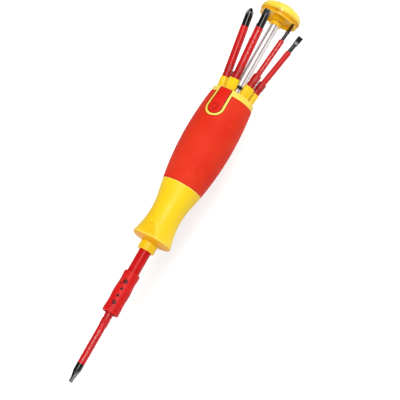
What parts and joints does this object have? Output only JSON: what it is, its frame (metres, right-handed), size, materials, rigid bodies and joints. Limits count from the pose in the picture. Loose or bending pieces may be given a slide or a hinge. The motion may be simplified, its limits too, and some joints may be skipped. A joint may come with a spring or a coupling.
{
  "type": "insulated screwdriver with bit magazine",
  "caption": "Insulated screwdriver with a soft barrel grip, a quick-release chuck and a pop-up magazine of fanning bits under a domed cap.",
  "frame": {"origin": "on the tool's axis where the neck leaves the guard, at the front of the handle", "axes": "+X runs along the tool from the blade tip to the cap, +Z is the side of the release button"},
  "size_m": [0.3108, 0.0399, 0.0418],
  "materials": {
    "nose_yellow": "smooth satin-gloss nylon",
    "grip_red": "fine matt soft grip",
    "button_red": "satin",
    "cap_yellow": "polished",
    "collar_yellow": "satin",
    "insulation_red": "satin nylon",
    "sleeve_red": "satin nylon",
    "holder_yellow": "satin",
    "tool_steel": "ground and lightly blasted",
    "dark_steel": "burnished black",
    "bright_steel": "polished plating",
    "spring_steel": "drawn wire",
    "black_rubber": "matt"
  },
  "bodies": {
    "handle": {"handle_core": "nose_yellow", "soft_grip": "grip_red", "end_collar": "collar_yellow", "button_pivot_pin": "tool_steel", "button_spring": "spring_steel", "drive_shaft": "tool_steel", "shaft_insulation": "insulation_red", "retaining_balls": "tool_steel", "sleeve_seat_ring": "tool_steel", "sleeve_spring": "spring_steel", "guide_pin": "tool_steel"},
    "magazine": {"lift_tube": "bright_steel", "tube_bush": "holder_yellow", "lift_spring": "spring_steel", "spring_plug": "tool_steel", "tube_ring": "black_rubber", "magazine_hub": "holder_yellow", "hub_clamp_plate": "holder_yellow", "hinge_pins": "tool_steel", "fan_spring": "spring_steel", "cap_insert": "holder_yellow", "cap_screw": "tool_steel", "cap_dome": "cap_yellow"},
    "holder_1": {"bit_holder_1": "holder_yellow"},
    "holder_2": {"bit_holder_2": "holder_yellow"},
    "holder_3": {"bit_holder_3": "holder_yellow"},
    "holder_4": {"bit_holder_4": "holder_yellow"},
    "holder_5": {"bit_holder_5": "holder_yellow"},
    "holder_6": {"bit_holder_6": "holder_yellow"},
    "bit_1": {"bit_1_blade": "dark_steel", "bit_1_insulation": "insulation_red"},
    "bit_2": {"bit_2_blade": "dark_steel", "bit_2_insulation": "insulation_red"},
    "bit_3": {"bit_3_blade": "dark_steel", "bit_3_insulation": "insulation_red"},
    "bit_5": {"bit_5_blade": "dark_steel", "bit_5_insulation": "insulation_red"},
    "bit_6": {"bit_6_blade": "dark_steel", "bit_6_insulation": "insulation_red"},
    "working_bit": {"working_bit_blade": "dark_steel", "working_bit_insulation": "insulation_red"},
    "lock_sleeve": {"lock_sleeve": "sleeve_red"},
    "release_button": {"release_button": "button_red"}
  },
  "joints": [
    {"name": "lift", "type": "slide", "parent": "handle", "child": "magazine", "axis": [1, 0, 0], "range_m": [-0.0684, 0], "stiffness_N_per_m": 60, "springref_m": 0.035, "deforming": ["lift_spring", "fan_spring"]},
    {"name": "fan_1", "type": "hinge", "parent": "magazine", "child": "holder_1", "pos_m": [0.1032, 0, 0.0074], "axis": [0, 1, 0], "range_deg": [0, 9.2]},
    {"name": "fan_2", "type": "hinge", "parent": "magazine", "child": "holder_2", "pos_m": [0.1032, -0.00641, 0.0037], "axis": [0, 0.5, 0.866], "range_deg": [0, 9.2]},
    {"name": "fan_3", "type": "hinge", "parent": "magazine", "child": "holder_3", "pos_m": [0.1032, -0.00641, -0.0037], "axis": [0, -0.5, 0.866], "range_deg": [0, 9.2]},
    {"name": "fan_4", "type": "hinge", "parent": "magazine", "child": "holder_4", "pos_m": [0.1032, 0, -0.0074], "axis": [0, -1, 0], "range_deg": [0, 9.2]},
    {"name": "fan_5", "type": "hinge", "parent": "magazine", "child": "holder_5", "pos_m": [0.1032, 0.00641, -0.0037], "axis": [0, -0.5, -0.866], "range_deg": [0, 9.2]},
    {"name": "fan_6", "type": "hinge", "parent": "magazine", "child": "holder_6", "pos_m": [0.1032, 0.00641, 0.0037], "axis": [0, 0.5, -0.866], "range_deg": [0, 9.2]},
    {"name": "bit_1_slide", "type": "slide", "parent": "holder_1", "child": "bit_1", "axis": [0.9871, 0, 0.1599], "range_m": [0, 0.022]},
    {"name": "bit_2_slide", "type": "slide", "parent": "holder_2", "child": "bit_2", "axis": [0.9871, -0.1385, 0.0799], "range_m": [0, 0.022]},
    {"name": "bit_3_slide", "type": "slide", "parent": "holder_3", "child": "bit_3", "axis": [0.9871, -0.1385, -0.0799], "range_m": [0, 0.022]},
    {"name": "bit_5_slide", "type": "slide", "parent": "holder_5", "child": "bit_5", "axis": [0.9871, 0.1385, -0.0799], "range_m": [0, 0.022]},
    {"name": "bit_6_slide", "type": "slide", "parent": "holder_6", "child": "bit_6", "axis": [0.9871, 0.1385, 0.0799], "range_m": [0, 0.022]},
    {"name": "working_bit_slide", "type": "slide", "parent": "handle", "child": "working_bit", "axis": [-1, 0, 0], "range_m": [0, 0.018]},
    {"name": "sleeve_slide", "type": "slide", "parent": "handle", "child": "lock_sleeve", "axis": [1, 0, 0], "range_m": [0, 0.003], "stiffness_N_per_m": 600, "springref_m": -0.0003, "deforming": ["sleeve_spring"]},
    {"name": "button_rock", "type": "hinge", "parent": "handle", "child": "release_button", "pos_m": [0.1115, 0, 0.0156], "axis": [0, -1, 0], "range_deg": [0, 6], "stiffness_Nm_per_rad": 0.05, "springref_deg": -0.03, "deforming": ["button_spring"]}
  ],
  "couplings": [
    {"joint": "fan_1", "follows": "lift", "rad_per_m": -2.3475},
    {"joint": "fan_2", "follows": "lift", "rad_per_m": -2.3475},
    {"joint": "fan_3", "follows": "lift", "rad_per_m": -2.3475},
    {"joint": "fan_4", "follows": "lift", "rad_per_m": -2.3475},
    {"joint": "fan_5", "follows": "lift", "rad_per_m": -2.3475},
    {"joint": "fan_6", "follows": "lift", "rad_per_m": -2.3475}
  ]
}
